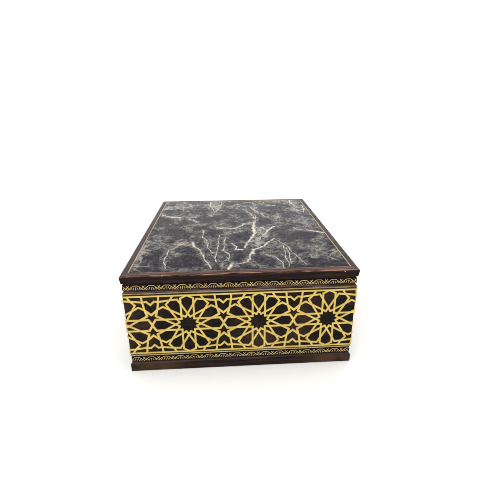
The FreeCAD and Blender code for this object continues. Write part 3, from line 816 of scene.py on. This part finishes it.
# ---- Felt linings ----
FELT_GAP = 0.15 * MM         # clear of the board round a sheet
FELT_ROLL = 0.5 * MM         # the width of its rolled edge
FELT_MESH = 6 * MM           # the spacing of its points
FELT_SHORTER = 1.0 * MM      # off each end of a side wall's sheet


def felt_stops(span):
    """The places of a sheet's points along one side, close together where the edge rolls over."""
    count = max(int(span / FELT_MESH), 4)
    inner = [FELT_ROLL * share for share in (0.0, 0.12, 0.45, 1.0)]
    middle = [FELT_ROLL + (span - 2 * FELT_ROLL) * step / count for step in range(1, count)]
    return inner + middle + [span - value for value in reversed(inner)]


def edge_drop(value, span):
    """How far the rolled edge falls, from 0 inside it to 1 at the very edge."""
    near = min(value, span - value)
    return 0.0 if near >= FELT_ROLL else 1 - math.sqrt(max(1 - (1 - near / FELT_ROLL) ** 2, 0.0))


def felt_sheet(name, node, facing, body, cloth, shorter=0.0):
    """A sheet of felt in place of a CAD lining: soft rolled edges and a slightly uneven face.

    facing is the axis, 'x', 'y' or 'z', and the sign of the way its open face looks; shorter is
    taken off both ends of a side wall's sheet, which fits between the front and back ones.
    """
    low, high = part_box(node)
    axis = "xyz".index(facing[0])
    sign = facing[1]
    flat_axes = [flat for flat in range(3) if flat != axis]
    back = low[axis] if sign > 0 else high[axis]
    thick = (high[axis] - low[axis]) * 0.96
    ends = [FELT_GAP + (shorter if flat == 1 else 0.0) for flat in flat_axes]
    starts = [low[flat] + end for flat, end in zip(flat_axes, ends)]
    spans = [high[flat] - low[flat] - 2 * end for flat, end in zip(flat_axes, ends)]
    across, along = (felt_stops(span) for span in spans)
    mesh = bmesh.new()
    rows = {}
    for layer in (0, 1):
        for i, a in enumerate(across):
            for j, b in enumerate(along):
                point = Vector((0, 0, 0))
                point[flat_axes[0]] = starts[0] + a
                point[flat_axes[1]] = starts[1] + b
                depth = 0.0
                if layer:
                    wave = noise.noise(point * 38) * 0.05 * MM
                    drop = max(edge_drop(a, spans[0]), edge_drop(b, spans[1]))
                    depth = thick - 0.07 * MM + wave - drop * 0.7 * thick
                point[axis] = back + sign * depth
                rows[layer, i, j] = mesh.verts.new(point)
    last_i, last_j = len(across) - 1, len(along) - 1
    for layer in (0, 1):
        for i in range(last_i):
            for j in range(last_j):
                corners = (i, j), (i + 1, j), (i + 1, j + 1), (i, j + 1)
                mesh.faces.new([rows[layer, *corner] for corner in corners])
    for i in range(last_i):
        for j in (0, last_j):
            mesh.faces.new((rows[0, i, j], rows[0, i + 1, j], rows[1, i + 1, j], rows[1, i, j]))
    for j in range(last_j):
        for i in (0, last_i):
            mesh.faces.new((rows[0, i, j], rows[0, i, j + 1], rows[1, i, j + 1], rows[1, i, j]))
    piece = add_piece(name, finish_mesh(mesh, name, smooth=True), cloth, body)
    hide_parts(node)


def all_linings():
    cloth = felt()
    felt_sheet("felt_floor", "floor_lining", ("z", 1), "body", cloth)
    for side, facing in (("front", ("y", 1)), ("back", ("y", -1)), ("left", ("x", 1)), ("right", ("x", -1))):
        shorter = FELT_SHORTER if side in ("left", "right") else 0.0
        felt_sheet(f"felt_wall_{side}", f"wall_lining_{side}", facing, "body",
                   cloth, shorter)
    felt_sheet("felt_lid", "lid_lining", ("z", -1), "lid", cloth)


# ---- Filled nail hole ----
FILLER_X = 131 * MM
FILLER_DOWN = 2.7 * MM       # below the rim's top
FILLER_TURNS = 20            # points round the dot


def add_filler():
    """A pale dot of filler over a nail in the front of the rim, near its right end."""
    graph = Graph("filler")
    tone = graph.grain(0.6, detail=2)
    color = graph.mix(tone, rgb(0.42, 0.36, 0.3), rgb(0.62, 0.56, 0.5))
    mesh = bmesh.new()
    centre = Vector((FILLER_X, -RIM_Y - 0.01 * MM, RIM_TOP - FILLER_DOWN))
    rings = []
    # each ring's radius and how far it stands out of the wood, in millimetres
    for radius, rise in ((0.72, -0.15), (0.66, 0.03), (0.4, 0.1)):
        row = []
        for step in range(FILLER_TURNS):
            angle = math.tau * step / FILLER_TURNS
            wobble = 1 + 0.1 * noise.noise(Vector((math.cos(angle), math.sin(angle), 0.4)) * 1.3)
            reach = radius * wobble * MM
            offset = Vector((reach * math.cos(angle), -rise * MM, reach * math.sin(angle)))
            row.append(mesh.verts.new(centre + offset))
        rings.append(row)
    for first, second in zip(rings, rings[1:]):
        bridge(mesh, first, second)
    mesh.faces.new(rings[-1])
    mesh.faces.new(rings[0][::-1])
    add_piece("rim_filler", finish_mesh(mesh, "rim_filler"), graph.finish(color, 0.6), "lid")


# ---- Stage, lights and camera ----
FLOOR_FLAT = 2.2             # the radius of the floor's flat part
FLOOR_SWEEP = 0.8            # the radius of the sweep up into the wall
STAGE_TOP = 3.0              # the wall's height
FLOOR_TURNS = 96             # steps round the floor


def arc_points(centre, radius, start, end, count):
    """Points along an arc from the start to the end angle, in degrees."""
    points = []
    for step in range(count + 1):
        angle = math.radians(start + (end - start) * step / count)
        points.append((centre[0] + radius * math.cos(angle), centre[1] + radius * math.sin(angle)))
    return points


def make_stage():
    """A round pale floor that sweeps up into a wall on every side."""
    mesh = bmesh.new()
    profile = arc_points((FLOOR_FLAT, FLOOR_SWEEP), FLOOR_SWEEP, -90, 0, 16)
    profile.append((FLOOR_FLAT + FLOOR_SWEEP, STAGE_TOP))
    rows = []
    for step in range(FLOOR_TURNS):
        angle = math.tau * step / FLOOR_TURNS
        rows.append([mesh.verts.new((r * math.cos(angle), r * math.sin(angle), z)) for r, z in profile])
    for step, row in enumerate(rows):
        after = rows[(step + 1) % FLOOR_TURNS]
        for index in range(len(profile) - 1):
            mesh.faces.new((row[index], after[index], after[index + 1], row[index + 1]))
    mesh.faces.new([row[0] for row in rows])
    data = finish_mesh(mesh, "floor", smooth=True)
    floor = bpy.data.objects.new("floor", data)
    bpy.context.scene.collection.objects.link(floor)
    graph = Graph("floor_paper")
    tone = graph.grain(700, detail=2)
    color = graph.mix(tone, rgb(0.90, 0.90, 0.895), rgb(0.93, 0.93, 0.925))
    outwards = graph.vector("LENGTH", graph.vector("MULTIPLY", graph.place, (1, 1, 0)))
    glow = graph.times(graph.step(outwards, 1.0, FLOOR_FLAT), 0.26)
    paper = graph.finish(color, 0.8, Specular_IOR_Level=0.2, Emission_Color=rgb(1.0, 1.0, 1.0),
                         Emission_Strength=glow)
    data.materials.append(paper)


def area_light(name, place, target, size, power):
    """A rectangular lamp aimed at the target; power in watts."""
    data = bpy.data.lights.new(name, "AREA")
    data.shape = "RECTANGLE"
    data.size, data.size_y = size
    data.energy = power
    light = bpy.data.objects.new(name, data)
    light.location = place
    light.rotation_euler = (Vector(target) - Vector(place)).to_track_quat("-Z", "Y").to_euler()
    bpy.context.scene.collection.objects.link(light)


def make_lights():
    """A broad lamp overhead, a weaker one at the front left and even white light from all round."""
    middle = (0, 0, 0.08)
    area_light("overhead", (0.1, 0.1, 2.2), middle, (2.4, 2.4), 27)
    area_light("front", (-0.5, -1.9, 1.35), middle, (1.4, 0.9), 24)
    world = bpy.data.worlds.new("world")
    world.use_nodes = True
    world.node_tree.nodes["Background"].inputs["Color"].default_value = rgb(1.0, 1.0, 1.0)
    world.node_tree.nodes["Background"].inputs["Strength"].default_value = 0.36
    bpy.context.scene.world = world


def make_camera():
    """The camera stands in front of the box and looks down on it; angles in radians."""
    place = Vector((-0.0181, -0.5651, 0.3436))
    turned_right, tilted_down, rolled = 0.0655, 0.3483, -0.002
    data = bpy.data.cameras.new("camera")
    data.sensor_width = 36
    data.lens = 25.45
    data.shift_x, data.shift_y = 0.0041, -0.0415
    data.clip_start = 0.01
    camera = bpy.data.objects.new("camera", data)
    turn = Matrix.Rotation(-turned_right, 4, "Z") @ Matrix.Rotation(math.pi / 2 - tilted_down, 4, "X")
    camera.matrix_world = Matrix.Translation(place) @ turn @ Matrix.Rotation(rolled, 4, "Z")
    bpy.context.scene.collection.objects.link(camera)
    bpy.context.scene.camera = camera


make_camera()
make_stage()
make_lights()
bpy.context.scene.view_settings.view_transform = "Standard"
bpy.context.scene.cycles.filter_width = 0.9
bpy.context.scene.cycles.denoising_prefilter = "NONE"
paint_frame()
soften_edges()
all_linework()
add_screws("body_screws", "body_leaf_screws", "body", NODES["body_leaf_screws"].material_slots[0].material, 1)
add_screws("lid_screws", "lid_leaf_screws", "lid", NODES["lid_leaf_screws"].material_slots[0].material, -1)
all_linings()
add_filler()
